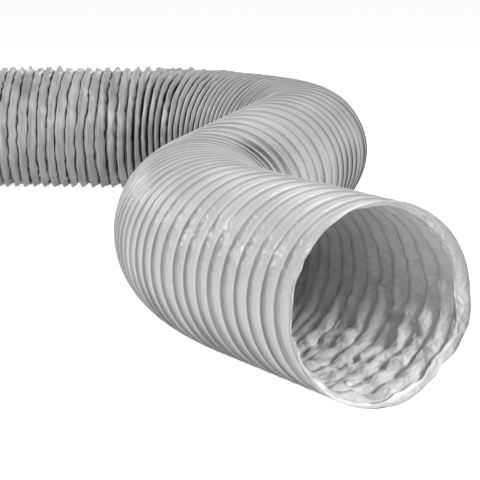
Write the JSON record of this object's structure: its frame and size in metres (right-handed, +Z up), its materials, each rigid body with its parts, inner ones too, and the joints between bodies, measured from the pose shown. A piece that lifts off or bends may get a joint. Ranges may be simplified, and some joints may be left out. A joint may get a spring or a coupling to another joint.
{
  "type": "flexible air duct",
  "caption": "Ribbed flexible duct of two film plies over a spring wire helix, lying in an S, with a clear bore and plain open ends.",
  "frame": {"origin": "middle of the base of the bounding box, on the surface that the duct lies on", "axes": "+X along the far run from its cut end towards the far bend, +Z up, the mouth opens towards -Y and +X"},
  "size_m": [0.5694, 1.1214, 0.1341],
  "materials": {
    "outer_film": "satin grey film, lightly creased",
    "spring_wire": "drawn spring wire",
    "inner_film": "satin grey film, crumpled"
  },
  "bodies": {
    "far_end": {"far_end_outer_ply": "outer_film", "far_end_wire": "spring_wire", "far_end_inner_ply": "inner_film", "far_stretch_outer_ply": "outer_film", "far_stretch_wire": "spring_wire", "far_stretch_inner_ply": "inner_film"},
    "far_run": {"far_run_outer_ply": "outer_film", "far_run_wire": "spring_wire", "far_run_inner_ply": "inner_film", "far_bend_outer_ply": "outer_film", "far_bend_wire": "spring_wire", "far_bend_inner_ply": "inner_film"},
    "rear_run": {"rear_run_outer_ply": "outer_film", "rear_run_wire": "spring_wire", "rear_run_inner_ply": "inner_film", "lift_flex_outer_ply": "outer_film", "lift_flex_wire": "spring_wire", "lift_flex_inner_ply": "inner_film"},
    "front_run": {"front_run_outer_ply": "outer_film", "front_run_wire": "spring_wire", "front_run_inner_ply": "inner_film", "near_bend_outer_ply": "outer_film", "near_bend_wire": "spring_wire", "near_bend_inner_ply": "inner_film"},
    "mouth_run": {"mouth_run_outer_ply": "outer_film", "mouth_run_wire": "spring_wire", "mouth_run_inner_ply": "inner_film", "mouth_stretch_outer_ply": "outer_film", "mouth_stretch_wire": "spring_wire", "mouth_stretch_inner_ply": "inner_film"},
    "mouth_end": {"mouth_end_outer_ply": "outer_film", "mouth_end_wire": "spring_wire", "mouth_end_inner_ply": "inner_film"}
  },
  "joints": [
    {"name": "far_run_draw", "type": "slide", "parent": "far_end", "child": "far_run", "axis": [1, 0, 0], "range_m": [-0.06, 0.06], "deforming": ["far_stretch_outer_ply", "far_stretch_wire", "far_stretch_inner_ply"]},
    {"name": "far_bend_swing", "type": "hinge", "parent": "far_run", "child": "rear_run", "pos_m": [0.12915, 0.43793, 0.06706], "axis": [0, 0, 1], "range_deg": [-30, 45], "deforming": ["far_bend_outer_ply", "far_bend_wire", "far_bend_inner_ply"]},
    {"name": "mouth_lift", "type": "hinge", "parent": "rear_run", "child": "front_run", "pos_m": [0.12573, 0.05992, 0.06706], "axis": [-0.9877, 0.1564, 0], "range_deg": [0, 40], "deforming": ["lift_flex_outer_ply", "lift_flex_wire", "lift_flex_inner_ply"]},
    {"name": "near_bend_swing", "type": "hinge", "parent": "front_run", "child": "mouth_run", "pos_m": [0.07935, -0.27068, 0.06706], "axis": [0, 0, 1], "range_deg": [-30, 40], "deforming": ["near_bend_outer_ply", "near_bend_wire", "near_bend_inner_ply"]},
    {"name": "mouth_draw", "type": "slide", "parent": "mouth_run", "child": "mouth_end", "axis": [0.5225, -0.8526, 0], "range_m": [-0.035, 0.05], "deforming": ["mouth_stretch_outer_ply", "mouth_stretch_wire", "mouth_stretch_inner_ply"]}
  ]
}
